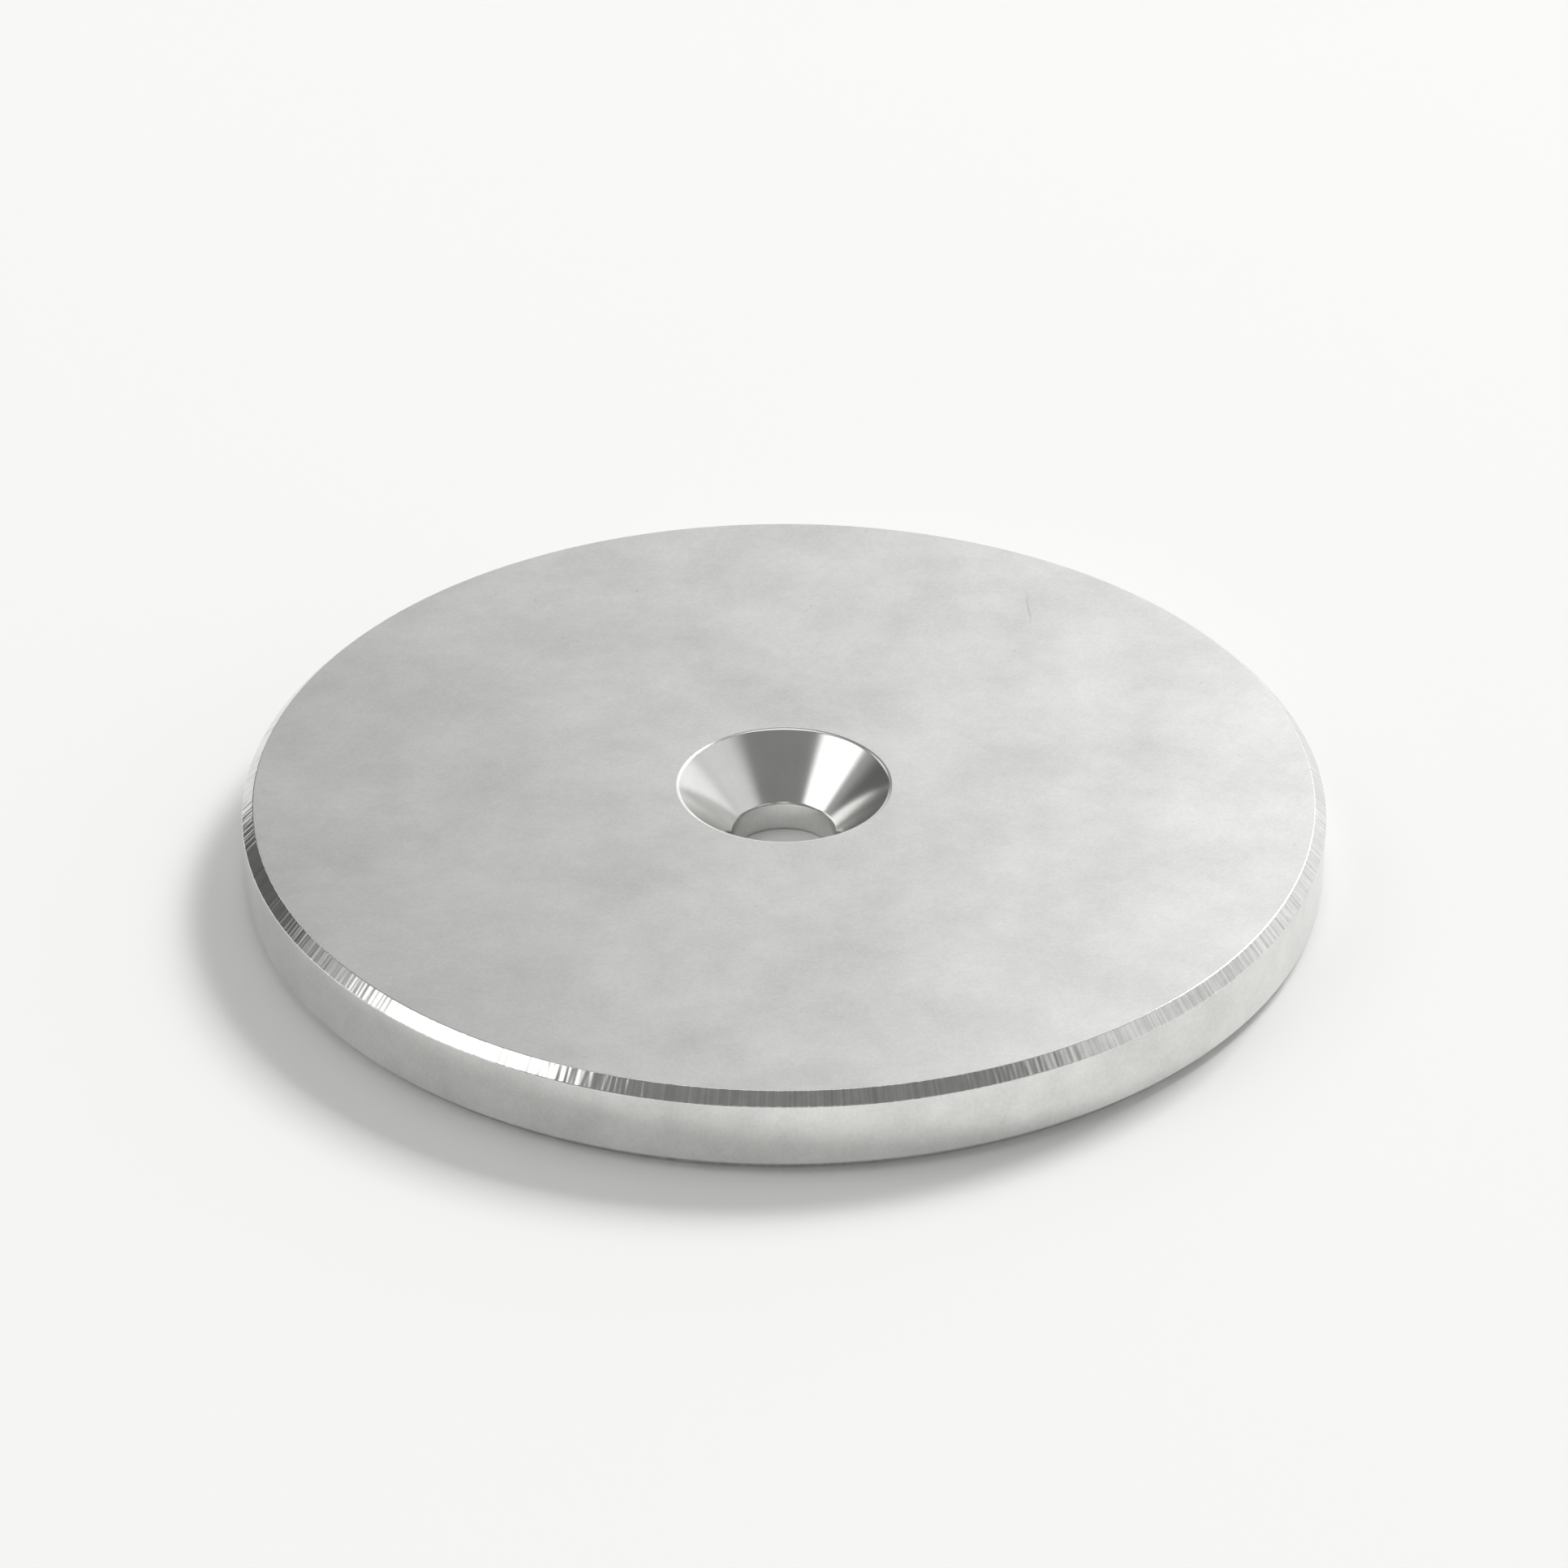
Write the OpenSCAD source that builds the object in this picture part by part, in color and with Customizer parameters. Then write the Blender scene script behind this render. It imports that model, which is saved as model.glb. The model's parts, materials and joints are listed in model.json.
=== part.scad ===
// Countersunk disc magnet: one sintered disc, nickel plated all over, with a bevel round both rims
// and a conical seat for a flat-head screw that narrows into a straight through bore.
// Millimetres. The back face lies on Z = 0, and +Z runs along the bore out of the countersink.

/* [Disc] */
// Outside diameter of the disc
disc_d = 50; // [20:1:100]
// Thickness from the back face to the front face
disc_t = 4; // [3.5:0.1:12]
// Leg of the 45 degree bevel round both rims
rim_bevel = 0.5; // [0.2:0.05:1.4]
// Radius that the plating leaves on both edges of each bevel
rim_edge_r = 0.1; // [0.05:0.01:0.25]

/* [Screw hole] */
// Diameter of the through bore
bore_d = 4.7; // [3.8:0.1:6.5]
// Diameter of the countersink where its cone would meet the front face in a sharp edge
sink_d = 9.8; // [7.4:0.1:11.4]
// Included angle of the countersink, in degrees
sink_angle = 90; // [75:1:120]
// Radius on the edge between the front face and the countersink
mouth_r = 0.25; // [0.1:0.05:0.5]
// Radius on the edge between the countersink and the bore
throat_r = 0.25; // [0.1:0.05:0.5]
// Radius on the edge between the bore and the back face
exit_r = 0.15; // [0.05:0.05:0.3]

/* [Hidden] */
plate_colour = [0.80, 0.80, 0.79];
// Facets round the disc's axis, and round a whole circle of an edge radius
turn_fn = 180;
edge_fn = 48;
disc_r = disc_d / 2;
bore_r = bore_d / 2;
sink_r = sink_d / 2;
sink_depth = (sink_r - bore_r) / tan(sink_angle / 2);

// Corners of the half section as [radius, height, edge radius], in order from the back end of the
// bore along the back face, up the rim, in over the front face and down the countersink
section = [
    [bore_r, 0, exit_r],
    [disc_r - rim_bevel, 0, rim_edge_r],
    [disc_r, rim_bevel, rim_edge_r],
    [disc_r, disc_t - rim_bevel, rim_edge_r],
    [disc_r - rim_bevel, disc_t, rim_edge_r],
    [sink_r, disc_t, mouth_r],
    [bore_r, disc_t - sink_depth, throat_r],
];

function point(corner) = [corner[0], corner[1]];
function unit(v) = v / norm(v);

// The arc that rounds corner i: where it leaves the last side, where it joins the next, and its centre
function arc_at(corners, i) =
    let (
        count = len(corners),
        here = point(corners[i]),
        to_last = unit(point(corners[(i + count - 1) % count]) - here),
        to_next = unit(point(corners[(i + 1) % count]) - here),
        half_angle = acos(to_last * to_next) / 2,
        set_back = corners[i][2] / tan(half_angle),
        reach = corners[i][2] / sin(half_angle)
    )
    [here + set_back * to_last, here + set_back * to_next, here + reach * unit(to_last + to_next)];

// A convex outline with a true arc at each corner
module rounded_outline(corners) {
    arcs = [for (i = [0 : len(corners) - 1]) arc_at(corners, i)];
    polygon([for (arc = arcs) each [arc[0], arc[1]]]);
    for (i = [0 : len(corners) - 1])
        translate(arcs[i][2])
            circle(r = corners[i][2], $fn = edge_fn);
}

// The disc, with its rims, faces, countersink and bore turned in one piece
module magnet_disc() {
    color(plate_colour)
        rotate_extrude($fn = turn_fn)
            rounded_outline(section);
}

magnet_disc();
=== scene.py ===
"""Looks of a nickel-plated countersunk disc magnet that lies flat with its countersink up.

The disc is one lathed surface with rounded edges and a ground bevel round each rim. Each zone of it has
the finish that its own tool left under the plating. Lengths are metres, angles radians unless a name
says otherwise.
"""

import json
import logging
import math
from dataclasses import dataclass, field
from enum import IntEnum
from typing import Any

import bpy
import numpy as np
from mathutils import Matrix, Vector


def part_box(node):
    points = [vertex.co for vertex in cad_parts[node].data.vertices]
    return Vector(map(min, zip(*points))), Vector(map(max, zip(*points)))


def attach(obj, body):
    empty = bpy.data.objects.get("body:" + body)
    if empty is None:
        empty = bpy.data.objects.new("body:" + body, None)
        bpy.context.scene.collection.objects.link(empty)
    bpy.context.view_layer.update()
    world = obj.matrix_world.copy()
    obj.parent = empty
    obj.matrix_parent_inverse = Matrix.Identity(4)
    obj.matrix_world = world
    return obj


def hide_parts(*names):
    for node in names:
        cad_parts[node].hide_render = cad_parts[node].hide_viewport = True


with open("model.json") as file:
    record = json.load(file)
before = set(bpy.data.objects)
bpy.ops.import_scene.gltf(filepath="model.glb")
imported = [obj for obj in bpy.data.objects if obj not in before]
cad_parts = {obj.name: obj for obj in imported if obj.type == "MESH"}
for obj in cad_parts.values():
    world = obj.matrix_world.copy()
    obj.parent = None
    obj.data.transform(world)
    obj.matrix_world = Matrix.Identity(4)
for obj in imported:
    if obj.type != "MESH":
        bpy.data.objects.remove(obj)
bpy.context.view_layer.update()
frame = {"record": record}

Tree = bpy.types.NodeTree
Socket = bpy.types.NodeSocket

log = logging.getLogger("magnet")

MM = 0.001
NODE = "magnet_disc"


class Zone(IntEnum):
    """The zones of the disc's surface, in the order of its material slots."""

    FACE = 0
    RIM = 1
    BEVEL = 2
    SEAT = 3
    BORE = 4


def linear(hex_colour: str) -> tuple[float, float, float, float]:
    """Turns an sRGB hex colour into the linear RGBA that shaders take.

    Each channel c becomes c / 12.92 up to 0.04045, and ((c + 0.055) / 1.055) to the power 2.4 above it.

    Args:
        hex_colour: Six hex digits after a hash sign.

    Returns:
        Linear red, green and blue, and an alpha of 1.
    """
    channels = [int(hex_colour[i : i + 2], 16) / 255 for i in (1, 3, 5)]
    curved = [c / 12.92 if c <= 0.04045 else ((c + 0.055) / 1.055) ** 2.4 for c in channels]
    return (*curved, 1.0)


def add(
    tree: Tree,
    kind: str,
    settings: dict[str, Any] | None = None,
    **inputs: Any,
) -> bpy.types.Node:
    """Adds a shader node, with its settings, its values and its links.

    Args:
        tree: The node tree that gets the node.
        kind: The node's type, such as ShaderNodeMath.
        settings: Properties of the node itself, such as operation.
        **inputs: What each input holds, by its name in lower case with underscores or, after the
            letter i, by its number. An output socket is linked, and anything else is set as the value.

    Returns:
        The new node.
    """
    node = tree.nodes.new(kind)
    for name, value in (settings or {}).items():
        setattr(node, name, value)
    for name, value in inputs.items():
        if name[0] == "i" and name[1:].isdigit():
            socket = node.inputs[int(name[1:])]
        else:
            shown = [s for s in node.inputs if s.enabled]
            socket = next(s for s in shown if s.name.lower().replace(" ", "_") == name)
        if isinstance(value, Socket):
            tree.links.new(value, socket)
        else:
            socket.default_value = value
    return node


@dataclass(frozen=True)
class Finish:
    """Bright nickel plate over one zone of the sintered disc.

    Nickel is a pale, nearly neutral metal. What lapping, grinding or turning left under it shows
    through in two patterns, soft clouds and a fine grain. Each has a size, a share in the tone and
    the gloss, and a height in the relief. Octaves are the layers of finer noise that a pattern
    holds, and falloff is how strong each is beside the one before it. The two tones are the far
    ends of the pattern, which the surface seldom reaches.
    """

    name: str
    bright: str = "#F8F8F6"
    dull: str = "#C4C4C2"
    roughness: float = 0.2
    roughness_swing: float = 0.04
    cloud_size: float = 5.0 * MM
    cloud_share: float = 1.05
    cloud_height: float = 0.0012 * MM
    cloud_octaves: float = 6.0
    cloud_falloff: float = 0.66
    grain_size: float = 0.14 * MM
    grain_share: float = 0.45
    grain_height: float = 0.0002 * MM
    grain_octaves: float = 2.0
    grain_falloff: float = 0.6

    def clouds(self, tree: Tree, place: Socket) -> Socket:
        """Soft blotches that tumbling and plating leave, with smaller ones inside them.

        Args:
            tree: The material's node tree.
            place: Object coordinates.

        Returns:
            A value round 0.5.
        """
        noise = add(
            tree,
            "ShaderNodeTexNoise",
            vector=place,
            scale=1 / self.cloud_size,
            detail=self.cloud_octaves,
            roughness=self.cloud_falloff,
        )
        return noise.outputs[0]

    def grain(self, tree: Tree, place: Socket) -> Socket:
        """The fine grain of the surface under the plate.

        Lapping grit leaves marks of a few hundredths of a millimetre, which are too fine to show, so
        the grain is drawn as coarse as it needs to be seen.

        Args:
            tree: The material's node tree.
            place: Object coordinates.

        Returns:
            A value round 0.5.
        """
        noise = add(
            tree,
            "ShaderNodeTexNoise",
            vector=place,
            scale=1 / self.grain_size,
            detail=self.grain_octaves,
            roughness=self.grain_falloff,
        )
        return noise.outputs[0]

    def marks(self, tree: Tree, place: Socket, tone: Socket) -> Socket:
        """Adds the zone's own marks to its tone, of which a plain zone has none."""
        return tone

    def material(self) -> bpy.types.Material:
        """Makes the material.

        The pattern is 0.5 + cloud_share * (clouds - 0.5) + grain_share * (grain - 0.5). It mixes the
        two tones, and the roughness is roughness + roughness_swing * (2 * pattern - 1). The relief is
        cloud_height * clouds + grain_height * grain.

        Returns:
            A new material with one Principled shader.
        """
        mat = bpy.data.materials.new(self.name)
        mat.use_nodes = True
        tree = mat.node_tree
        tree.nodes.clear()
        place = add(tree, "ShaderNodeTexCoord").outputs["Object"]
        clouds, grain = self.clouds(tree, place), self.grain(tree, place)
        blend = {"operation": "MULTIPLY_ADD"}
        middle = 0.5 * (1 - self.cloud_share - self.grain_share)
        fine = add(tree, "ShaderNodeMath", blend, i0=grain, i1=self.grain_share, i2=middle)
        pattern = add(tree, "ShaderNodeMath", blend, i0=clouds, i1=self.cloud_share, i2=fine.outputs[0])
        colour = add(
            tree,
            "ShaderNodeMix",
            {"data_type": "RGBA"},
            factor=self.marks(tree, place, pattern.outputs[0]),
            i6=linear(self.bright),
            i7=linear(self.dull),
        )
        least = self.roughness - self.roughness_swing
        swing = 2 * self.roughness_swing
        rough = add(tree, "ShaderNodeMath", blend, i0=pattern.outputs[0], i1=swing, i2=least)
        low = add(tree, "ShaderNodeMath", blend, i0=clouds, i1=self.cloud_height, i2=0.0)
        high = add(tree, "ShaderNodeMath", blend, i0=grain, i1=self.grain_height, i2=low.outputs[0])
        bump = add(tree, "ShaderNodeBump", height=high.outputs[0], distance=1.0, strength=1.0)
        shader = add(
            tree,
            "ShaderNodeBsdfPrincipled",
            base_color=colour.outputs[2],
            metallic=1.0,
            roughness=rough.outputs[0],
            normal=bump.outputs[0],
        )
        add(tree, "ShaderNodeOutputMaterial", surface=shader.outputs[0])
        return mat


@dataclass(frozen=True)
class LappedFace(Finish):
    """A face lapped flat, with the pinholes and the hairline scratch that handling leaves.

    A core is the share of a speck's radius, or of the scratch's half width, that is fully dark.
    """

    speck_spacing: float = 2.2 * MM
    speck_radius: float = 0.1 * MM
    speck_core: float = 0.5
    speck_share: float = 0.3
    scratch_middle: tuple[float, float] = (11.9 * MM, 16.2 * MM)
    scratch_turn_deg: float = 93.0
    scratch_half_length: float = 2.0 * MM
    scratch_half_width: float = 0.045 * MM
    scratch_core: float = 0.4
    scratch_share: float = 0.4
    wander_length: float = 1.5 * MM
    wander_reach: float = 0.3 * MM

    def marks(self, tree: Tree, place: Socket, tone: Socket) -> Socket:
        """Darkens the tone in sparse round specks and along one slightly wavy scratch.

        The specks lie round the middles of Voronoi cells. The scratch is a long, thin ellipse, and
        noise moves each place of it about within wander_reach. Both fade out from core to edge.

        Args:
            tree: The material's node tree.
            place: Object coordinates.
            tone: The tone without the marks, from 0, bright, to 1, dull.

        Returns:
            The tone with them.
        """
        blend = {"operation": "MULTIPLY_ADD"}
        cells = add(tree, "ShaderNodeTexVoronoi", vector=place, scale=1 / self.speck_spacing)
        reach = self.speck_radius / self.speck_spacing
        speck = add(
            tree,
            "ShaderNodeMapRange",
            value=cells.outputs[0],
            from_min=self.speck_core * reach,
            from_max=reach,
            to_min=1.0,
            to_max=0.0,
        )
        wander = add(tree, "ShaderNodeTexNoise", vector=place, scale=1 / self.wander_length)
        bend = (self.wander_reach, self.wander_reach, 0.0)
        bent = add(tree, "ShaderNodeVectorMath", blend, i0=wander.outputs[1], i1=bend, i2=place)
        x, y = (middle + self.wander_reach / 2 for middle in self.scratch_middle)
        along = add(
            tree,
            "ShaderNodeMapping",
            {"vector_type": "TEXTURE"},
            vector=bent.outputs[0],
            location=(x, y, 0.0),
            rotation=(0.0, 0.0, math.radians(self.scratch_turn_deg)),
            scale=(self.scratch_half_length, self.scratch_half_width, 1.0),
        )
        level = {"operation": "MULTIPLY"}
        span = add(tree, "ShaderNodeVectorMath", level, i0=along.outputs[0], i1=(1.0, 1.0, 0.0))
        far = add(tree, "ShaderNodeVectorMath", {"operation": "LENGTH"}, i0=span.outputs[0])
        scratch = add(
            tree,
            "ShaderNodeMapRange",
            value=far.outputs[1],
            from_min=self.scratch_core,
            from_max=1.0,
            to_min=1.0,
            to_max=0.0,
        )
        specked = add(tree, "ShaderNodeMath", blend, i0=speck.outputs[0], i1=self.speck_share, i2=tone)
        marked = add(
            tree,
            "ShaderNodeMath",
            {"operation": "MULTIPLY_ADD", "use_clamp": True},
            i0=scratch.outputs[0],
            i1=self.scratch_share,
            i2=specked.outputs[0],
        )
        return marked.outputs[0]


@dataclass(frozen=True)
class GroundBevel(Finish):
    """A bevel ground by a wheel that crossed it, so that fine lines run from edge to edge of it."""

    ring_radius: float = 25.0 * MM

    def grain(self, tree: Tree, place: Socket) -> Socket:
        """Grinding lines, drawn coarser than the wheel's grit so that they show.

        They are noise over the direction from the disc's axis alone, (x, y) / length of (x, y), so they
        are drawn out across the bevel.

        Args:
            tree: The material's node tree.
            place: Object coordinates.

        Returns:
            A value round 0.5.
        """
        level = {"operation": "MULTIPLY"}
        flat = add(tree, "ShaderNodeVectorMath", level, i0=place, i1=(1.0, 1.0, 0.0))
        outward = add(tree, "ShaderNodeVectorMath", {"operation": "NORMALIZE"}, i0=flat.outputs[0])
        noise = add(
            tree,
            "ShaderNodeTexNoise",
            vector=outward.outputs[0],
            scale=self.ring_radius / self.grain_size,
            detail=self.grain_octaves,
            roughness=self.grain_falloff,
        )
        return noise.outputs[0]


# Nickel over a face lapped with loose grit. The eye sees a soft satin sheen, which spreads each
# reflection into a wide gradient, with faint clouds, and no lines.
FACE = LappedFace("nickel_over_lapped_face", roughness=0.31, roughness_swing=0.02)

# Nickel over the cylindrical side, ground between wheels and then tumbled. The eye sees a brighter
# sheen than the face's, in blotches of a few millimetres that are glossier or duller.
RIM = Finish(
    "nickel_over_ground_rim",
    roughness=0.2,
    roughness_swing=0.08,
    cloud_size=3.0 * MM,
    cloud_share=1.0,
    cloud_height=0.001 * MM,
)

# Nickel over a bevel that a wheel ground across. The eye sees a chain of narrow flats that each flash
# light or dark, with fine lines in them, so the edge of a reflection breaks up into streaks.
BEVEL = GroundBevel(
    "nickel_over_ground_bevel",
    bright="#F2F2F0",
    dull="#C4C4C2",
    roughness=0.13,
    roughness_swing=0.05,
    cloud_size=0.6 * MM,
    cloud_share=0.9,
    cloud_height=0.0,
    grain_size=0.2 * MM,
    grain_share=2.2,
    grain_height=0.0012 * MM,
    grain_falloff=0.7,
)

# Nickel over a cone turned with a countersink. The eye sees a smooth, glossy funnel with soft bands of
# white and grey that run from its mouth to its throat, and no tool marks.
SEAT = Finish(
    "nickel_over_turned_seat",
    roughness=0.17,
    roughness_swing=0.022,
    cloud_size=1.7 * MM,
    cloud_share=0.4,
    cloud_height=0.0,
    grain_share=0.09,
    grain_height=0.00002 * MM,
)

# Nickel over a drilled wall, which lapping and tumbling don't reach. The eye sees a plain satin wall.
BORE = Finish(
    "nickel_over_drilled_bore",
    roughness=0.2,
    roughness_swing=0.065,
    cloud_size=1.7 * MM,
    cloud_share=0.4,
    cloud_height=0.0,
)


@dataclass(frozen=True)
class Corner:
    """A corner of the half section, the arc that rounds it and the straight side that follows it."""

    radius: float
    height: float
    rounding: float
    arc_steps: int
    arc: Zone
    side_steps: int
    side: Zone
    columns: int

    @property
    def place(self) -> np.ndarray:
        """The corner as a point."""
        return np.array([self.radius, self.height])


@dataclass(frozen=True)
class Section:
    """The closed half section: one ring of the disc for each row.

    The points are (radius, height) pairs. The zones are those of the stretch after each point. Ground
    says how much of a bevel's grinding each point carries, from 0 to 1, and columns into how many
    steps its ring is divided.
    """

    points: np.ndarray
    zones: np.ndarray
    ground: np.ndarray
    columns: np.ndarray


@dataclass
class MagnetDisc:
    """The magnet: one sintered, ground and plated disc with a countersunk bore.

    The edges are the radii that plating leaves on the corners. Columns are steps round the disc, with
    more of them where the front bevel's flats need them. Support is how far from an arc the first
    ring on a straight side lies. The flats are the strokes of the wheel across a bevel: their tilt is
    the root mean square slope along the rim, and flat_shares are the shares of the set that runs
    right across, of the one at the bevel's outer edge and of the one at its inner edge.
    """

    radius: float
    thickness: float
    bore_radius: float
    rim_bevel: float = 0.5 * MM
    rim_edge: float = 0.1 * MM
    seat_radius: float = 4.9 * MM
    seat_half_angle: float = math.radians(45)
    mouth_edge: float = 0.25 * MM
    throat_edge: float = 0.25 * MM
    exit_edge: float = 0.15 * MM
    columns: int = 720
    front_bevel_columns: int = 2880
    back_bevel_columns: int = 1440
    support: float = 0.02 * MM
    flat_tilt: float = 0.036
    flat_widths: tuple[float, float] = (0.2 * MM, 1.4 * MM)
    flat_shares: tuple[float, float, float] = (0.8, 0.6, 0.6)
    seed: int = 7
    finishes: dict[Zone, Finish] = field(
        default_factory=lambda: {
            Zone.FACE: FACE,
            Zone.RIM: RIM,
            Zone.BEVEL: BEVEL,
            Zone.SEAT: SEAT,
            Zone.BORE: BORE,
        }
    )

    def corners(self) -> list[Corner]:
        """The corners of the half section.

        Returns:
            Corners in order from the back end of the bore, out, up the rim, in and down the seat.
        """
        top, inner = self.thickness, self.radius - self.rim_bevel
        throat = top - (self.seat_radius - self.bore_radius) / math.tan(self.seat_half_angle)
        edge, bevel = self.rim_edge, self.rim_bevel
        back, front, plain = self.back_bevel_columns, self.front_bevel_columns, self.columns
        # Radius, height, rounding, steps and zone of the arc, steps and zone of the side, columns
        return [
            Corner(self.bore_radius, 0.0, self.exit_edge, 4, Zone.BORE, 3, Zone.FACE, plain),
            Corner(inner, 0.0, edge, 3, Zone.BEVEL, 3, Zone.BEVEL, back),
            Corner(self.radius, bevel, edge, 3, Zone.BEVEL, 2, Zone.RIM, back),
            Corner(self.radius, top - bevel, edge, 3, Zone.BEVEL, 4, Zone.BEVEL, front),
            Corner(inner, top, edge, 3, Zone.BEVEL, 5, Zone.FACE, front),
            Corner(self.seat_radius, top, self.mouth_edge, 5, Zone.SEAT, 3, Zone.SEAT, plain),
            Corner(self.bore_radius, throat, self.throat_edge, 5, Zone.SEAT, 2, Zone.BORE, plain),
        ]

    def section(self) -> Section:
        """Works out the half section.

        Each straight side is divided evenly from the end of one corner's arc to the start of the
        next, with one more point close to either end, which keeps the arcs' shading off it.

        Returns:
            The section.
        """
        corners = self.corners()
        count = len(corners)
        places = [corner.place for corner in corners]
        arcs = [self._arc(places[i - 1], corners[i], places[(i + 1) % count]) for i in range(count)]
        points, zones, ground, columns = [], [], [], []
        for i, corner in enumerate(corners):
            arc, after = arcs[i], arcs[(i + 1) % count]
            start, end = arc[-1], after[0]
            close = self.support / np.linalg.norm(end - start)
            even = np.linspace(0, 1, corner.side_steps + 1)[1:-1]
            shares = np.concatenate([[close], even, [1 - close]])
            side = start + shares[:, None] * (end - start)
            from_bevel = corners[i - 1].side is Zone.BEVEL
            on_bevel = corner.side is Zone.BEVEL
            side_columns = corner.columns if on_bevel else self.columns
            points += [arc, side]
            zones += [[corner.arc] * (len(arc) - 1), [corner.side] * (len(side) + 1)]
            ground += [np.linspace(from_bevel, on_bevel, len(arc)), [on_bevel] * len(side)]
            columns += [[corner.columns] * len(arc), [side_columns] * len(side)]
        return Section(
            np.vstack(points),
            np.concatenate(zones).astype(int),
            np.concatenate(ground).astype(float),
            np.concatenate(columns).astype(int),
        )

    @staticmethod
    def _arc(before: np.ndarray, corner: Corner, after: np.ndarray) -> np.ndarray:
        """The points of the arc that rounds one corner.

        With h half the angle at the corner, the arc's ends lie rounding / tan(h) from the corner and
        its centre rounding / sin(h). The points are centre + rounding * (cos a, sin a) for even a.

        Args:
            before: The corner before.
            corner: The corner.
            after: The corner after.

        Returns:
            The points, from the side before the corner to the side after it.
        """
        here = corner.place
        to_last = (before - here) / np.linalg.norm(before - here)
        to_next = (after - here) / np.linalg.norm(after - here)
        half = math.acos(float(to_last @ to_next)) / 2
        middle = (to_last + to_next) / np.linalg.norm(to_last + to_next)
        centre = here + middle * corner.rounding / math.sin(half)
        first = here + to_last * corner.rounding / math.tan(half) - centre
        a = math.atan2(first[1], first[0]) + np.linspace(0, math.pi - 2 * half, corner.arc_steps + 1)
        return centre + corner.rounding * np.stack([np.cos(a), np.sin(a)], axis=1)

    def flats(self, columns: int, rng: np.random.Generator) -> np.ndarray:
        """How deep a bevel is ground at each step round the disc.

        The depth is a sum of waves round the disc with random phases. Their lengths lie between the
        two flat_widths, and their heights go with the square root of the length. The sum is scaled so
        that the surface's tilt along the rim has flat_tilt as its root mean square.

        Args:
            columns: How many steps there are.
            rng: Gives the phases.

        Returns:
            Depths of 0 or more, one for each step.
        """
        around = 2 * math.pi * self.radius
        waves = np.fft.rfftfreq(columns, 1 / columns)
        kept = (waves > around / self.flat_widths[1]) & (waves < around / self.flat_widths[0])
        turned = np.exp(2j * math.pi * rng.random(len(waves)))
        heights = turned / np.sqrt(np.maximum(waves, 1))
        depth = np.fft.irfft(np.where(kept, heights, 0), columns)
        tilt = np.gradient(depth, around / columns)
        depth *= self.flat_tilt / np.sqrt(np.mean(tilt**2))
        return depth - depth.min()

    def rings(self, section: Section) -> list[np.ndarray]:
        """The lathed rings: point (r, z) of the section at angle a goes to (r cos a, r sin a, z).

        On a bevel the point first moves inward, square to the bevel, by the depth of its flats. At 45
        degrees that is depth * sqrt(1/2) both in radius and in height. One set of flats runs right
        across, and another fades into a third from edge to edge, so that some of the grinding lines
        end part of the way.

        Args:
            section: The half section.

        Returns:
            The points of each ring.
        """
        middle = self.thickness / 2
        rng = np.random.default_rng(self.seed)
        depths = {}
        for columns in (self.front_bevel_columns, self.back_bevel_columns):
            depths[columns] = [share * self.flats(columns, rng) for share in self.flat_shares]
        rings = []
        for (r, z), ground, columns in zip(section.points, section.ground, section.columns):
            angle = 2 * math.pi * np.arange(columns) / columns
            drop = 0.0
            if ground:
                across = np.clip((abs(z - middle) - middle + self.rim_bevel) / self.rim_bevel, 0, 1)
                whole, outer, inner = depths[columns]
                depth = whole + outer * (1 - across) + inner * across
                drop = depth * ground * math.sqrt(0.5)
            radius = r - drop
            height = np.full(columns, z) - math.copysign(1, z - middle) * drop
            rings.append(np.stack([radius * np.cos(angle), radius * np.sin(angle), height], axis=1))
        return rings

    @staticmethod
    def _strip(first: int, columns: int, next_first: int, next_columns: int) -> np.ndarray:
        """The faces between two rings.

        Where one ring has k times as many steps as the other, a face takes one step of the coarse ring
        and k of the fine one.

        Args:
            first: Number of the near ring's first point.
            columns: How many points the near ring has.
            next_first: Number of the far ring's first point.
            next_columns: How many points the far ring has.

        Returns:
            The numbers of each face's corners, one face to a row.
        """
        coarse = min(columns, next_columns)
        step = np.arange(coarse)[:, None]
        fine, next_fine = columns // coarse, next_columns // coarse
        near = (step * fine + np.arange(fine + 1)) % columns
        far = (step * next_fine + np.arange(next_fine, -1, -1)) % next_columns
        return np.hstack([first + near, next_first + far])

    def mesh(self) -> bpy.types.Mesh:
        """The closed surface: a strip of faces joins each ring to the next, and the last to the first.

        Returns:
            The mesh, with each face's zone as its material index.
        """
        section = self.section()
        rings = self.rings(section)
        columns = section.columns
        firsts = np.concatenate([[0], np.cumsum(columns)[:-1]])
        ends = zip(firsts, columns, np.roll(firsts, -1), np.roll(columns, -1))
        strips = [self._strip(*end) for end in ends]
        sizes = np.concatenate([np.full(len(strip), strip.shape[1]) for strip in strips])
        zones = np.repeat(section.zones, [len(strip) for strip in strips])
        corners = np.concatenate([strip.ravel() for strip in strips])
        mesh = bpy.data.meshes.new("magnet")
        mesh.vertices.add(int(columns.sum()))
        mesh.vertices.foreach_set("co", np.vstack(rings).astype(np.float32).ravel())
        mesh.loops.add(len(corners))
        mesh.loops.foreach_set("vertex_index", corners.astype(np.int32))
        mesh.polygons.add(len(sizes))
        mesh.polygons.foreach_set("loop_start", (np.cumsum(sizes) - sizes).astype(np.int32))
        mesh.polygons.foreach_set("material_index", zones.astype(np.int32))
        mesh.update(calc_edges=True)
        mesh.validate()
        mesh.shade_smooth()
        return mesh

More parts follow.
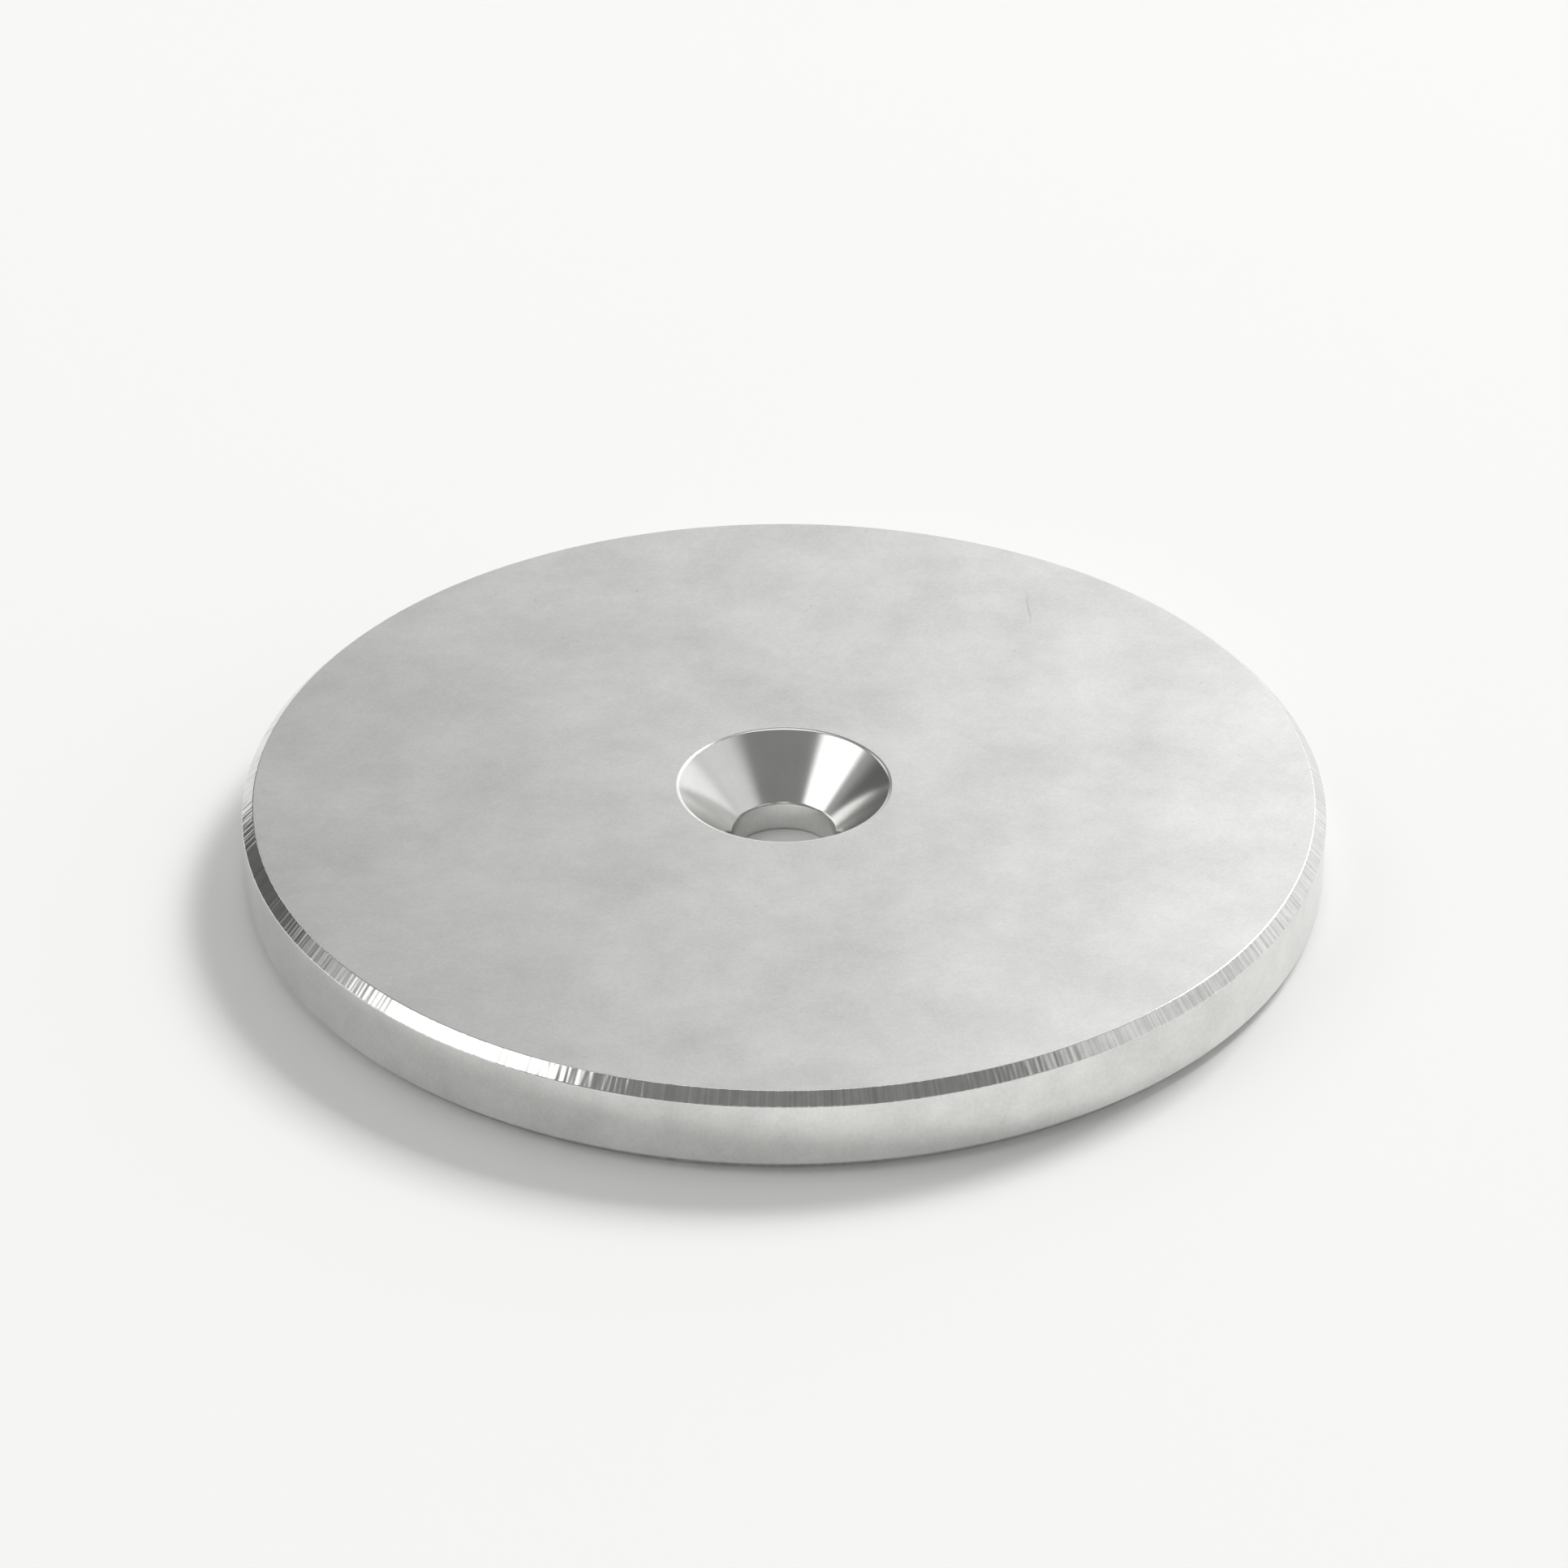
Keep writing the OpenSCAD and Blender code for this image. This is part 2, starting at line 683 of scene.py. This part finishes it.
    def build(self) -> bpy.types.Object:
        """Makes the magnet, dresses it and puts it in its CAD node's place.

        Returns:
            The finished piece.
        """
        piece = bpy.data.objects.new("nickel_plated_magnet", self.mesh())
        bpy.context.scene.collection.objects.link(piece)
        for zone in Zone:
            piece.data.materials.append(self.finishes[zone].material())
        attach(piece, "root")
        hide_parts(NODE)
        return piece


@dataclass(frozen=True)
class Softbox:
    """A soft lamp: where it stands as seen from the object, its size and how bright its front is."""

    name: str
    azimuth_deg: float
    elevation_deg: float
    distance: float
    width: float
    height: float
    radiance: float

    def place(self, target: Vector) -> bpy.types.Object:
        """Puts the lamp in the scene, facing the target.

        A flat lamp of area A and power P has a radiance of P / (pi A).

        Args:
            target: The point that the lamp faces.

        Returns:
            The lamp.
        """
        a, e = math.radians(self.azimuth_deg), math.radians(self.elevation_deg)
        back = Vector((math.cos(a) * math.cos(e), math.sin(a) * math.cos(e), math.sin(e)))
        data = bpy.data.lights.new(self.name, "AREA")
        data.shape = "RECTANGLE"
        data.size, data.size_y = self.width, self.height
        data.energy = self.radiance * math.pi * self.width * self.height
        lamp = bpy.data.objects.new(self.name, data)
        lamp.location = target + back * self.distance
        lamp.rotation_euler = (-back).to_track_quat("-Z", "Y").to_euler()
        bpy.context.scene.collection.objects.link(lamp)
        log.info("%s: %.2f W", self.name, data.energy)
        return lamp


@dataclass(frozen=True)
class Panel:
    """A soft-edged stretch of the light tent that is brighter or dimmer than the cloth round it.

    Its brightness is full up to the inner angle from its middle and gone at the outer angle.
    """

    azimuth_deg: float
    elevation_deg: float
    inner_deg: float
    outer_deg: float
    radiance: float

    def over(self, tree: Tree, way: Socket, under: Socket) -> Socket:
        """Lays the panel over what is there already.

        Its share is a smooth step of the cosine of the angle from its middle.

        Args:
            tree: The world's node tree.
            way: The direction looked in.
            under: The brightness without the panel.

        Returns:
            The brightness with it.
        """
        a, e = math.radians(self.azimuth_deg), math.radians(self.elevation_deg)
        middle = (math.cos(a) * math.cos(e), math.sin(a) * math.cos(e), math.sin(e))
        towards = add(tree, "ShaderNodeVectorMath", {"operation": "DOT_PRODUCT"}, i0=way, i1=middle)
        share = add(
            tree,
            "ShaderNodeMapRange",
            {"interpolation_type": "SMOOTHSTEP"},
            value=towards.outputs[1],
            from_min=math.cos(math.radians(self.outer_deg)),
            from_max=math.cos(math.radians(self.inner_deg)),
        )
        one = {"data_type": "FLOAT"}
        mix = add(tree, "ShaderNodeMix", one, i0=share.outputs[0], i2=under, i3=self.radiance)
        return mix.outputs[0]


@dataclass
class Studio:
    """A pale table in a light tent, with a key softbox, and the camera.

    The panels are laid over each other in order. Azimuths run from +X towards +Y, and the camera
    stands at -90 degrees.
    """

    target: Vector
    disc_width: float
    camera_distance: float = 253.3 * MM
    camera_elevation_deg: float = 32.1
    sensor_width: float = 36.0
    share_of_width: float = 0.69
    clip_start: float = 10 * MM
    floor_radius: float = 3.0
    floor_sides: int = 96
    floor_colour: str = "#EBEBEA"
    floor_roughness: float = 0.9
    tent_wall: float = 0.95
    tent_roof: float = 0.1
    roof_starts_deg: float = 20.0
    roof_full_deg: float = 38.0
    panels: tuple[Panel, ...] = (
        # The dim side behind the camera
        Panel(-90, 12, 45, 75, 0.3),
        # What the left of the face mirrors, and the dark stretches of the bevel and the seat
        Panel(131, 46, 8, 44, 0.3),
        Panel(137, 10.5, 11, 33, 0.13),
        # What the right of the face mirrors, and the light stretches of the bevel and the seat
        Panel(61, 26, 12, 34, 1.12),
        Panel(2, 41.5, 8, 30, 0.78),
        # What the grey front of the bevel and the grey back of the seat mirror
        Panel(-90, 50.5, 22, 36, 0.25),
        # The overhead light, which the face mirrors to an eye straight above it
        Panel(90, 80, 8, 25, 1.2),
        # What the white stretch of the bevel mirrors
        Panel(-169.5, 44, 16, 23, 1.7),
        # Three patches that keep the face pale as seen from the other sides
        Panel(131, 34, 7, 15, 1.0),
        Panel(-45, 17, 10, 24, 0.8),
        Panel(-90, 34, 6, 14, 0.9),
    )
    softboxes: tuple[Softbox, ...] = (Softbox("key_softbox", 52, 40, 4.0, 1.36, 1.2, 22.5),)

    def camera(self) -> bpy.types.Object:
        """The camera, level, on the side of -Y, looking down at the disc.

        Its focal length is sensor_width * camera_distance * share_of_width / disc_width, at which the
        disc takes up share_of_width of the picture's width.

        Returns:
            The camera.
        """
        e = math.radians(self.camera_elevation_deg)
        back = Vector((0, -math.cos(e), math.sin(e)))
        data = bpy.data.cameras.new("camera")
        data.sensor_width = self.sensor_width
        data.lens = self.sensor_width * self.camera_distance * self.share_of_width / self.disc_width
        data.clip_start = self.clip_start
        camera = bpy.data.objects.new("camera", data)
        camera.location = self.target + back * self.camera_distance
        camera.rotation_euler = (-back).to_track_quat("-Z", "Y").to_euler()
        bpy.context.scene.collection.objects.link(camera)
        bpy.context.scene.camera = camera
        return camera

    def floor(self) -> bpy.types.Object:
        """A plain round floor under the object: corner i lies at floor_radius * (cos a, sin a, 0).

        Returns:
            The floor.
        """
        a = 2 * math.pi * np.arange(self.floor_sides) / self.floor_sides
        rim = np.stack([np.cos(a), np.sin(a), np.zeros_like(a)], axis=1) * self.floor_radius
        mesh = bpy.data.meshes.new("floor")
        mesh.from_pydata(rim.tolist(), [], [list(range(self.floor_sides))])
        floor = bpy.data.objects.new("floor", mesh)
        bpy.context.scene.collection.objects.link(floor)
        # Laminate pressed with a matt plate: an even, pale ground that shows a shadow and no gloss
        mat = bpy.data.materials.new("matt_white_laminate")
        mat.use_nodes = True
        tree = mat.node_tree
        tree.nodes.clear()
        shader = add(
            tree,
            "ShaderNodeBsdfPrincipled",
            base_color=linear(self.floor_colour),
            roughness=self.floor_roughness,
        )
        add(tree, "ShaderNodeOutputMaterial", surface=shader.outputs[0])
        mesh.materials.append(mat)
        return floor

    def tent(self) -> None:
        """The light tent round the table: pale walls, a dimmer roof and the panels.

        Between the two roof angles, the wall turns into the roof by a smooth step of the sine of the
        elevation.
        """
        world = bpy.data.worlds.new("light_tent")
        world.use_nodes = True
        tree = world.node_tree
        tree.nodes.clear()
        way = add(tree, "ShaderNodeTexCoord").outputs["Generated"]
        height = add(tree, "ShaderNodeSeparateXYZ", i0=way).outputs[2]
        cloth = add(
            tree,
            "ShaderNodeMapRange",
            {"interpolation_type": "SMOOTHSTEP"},
            value=height,
            from_min=math.sin(math.radians(self.roof_starts_deg)),
            from_max=math.sin(math.radians(self.roof_full_deg)),
            to_min=self.tent_wall,
            to_max=self.tent_roof,
        )
        bright = cloth.outputs[0]
        for panel in self.panels:
            bright = panel.over(tree, way, bright)
        shade = add(tree, "ShaderNodeBackground", strength=bright, color=(1.0, 1.0, 1.0, 1.0))
        add(tree, "ShaderNodeOutputWorld", surface=shade.outputs[0])
        bpy.context.scene.world = world

    def build(self) -> None:
        """Puts the camera, the floor, the tent and the lamps in the scene."""
        self.camera()
        self.floor()
        self.tent()
        for box in self.softboxes:
            box.place(self.target)
        bpy.context.scene.view_settings.view_transform = "Standard"


def main() -> None:
    """Builds the studio and the magnet, and reports the piece's triangle count."""
    logging.basicConfig(level=logging.INFO, format="%(message)s")
    low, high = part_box(NODE)
    bore = next(m for m in frame["record"]["mounts"] if m["name"] == "screw_bore")
    disc = MagnetDisc(radius=high.x, thickness=high.z, bore_radius=bore["dims"]["r_mm"] * MM)
    Studio(target=Vector((0, 0, high.z)), disc_width=high.x - low.x).build()
    piece = disc.build()
    piece.data.calc_loop_triangles()
    log.info("%s: %d triangles", piece.name, len(piece.data.loop_triangles))


if __name__ == "__main__":
    main()
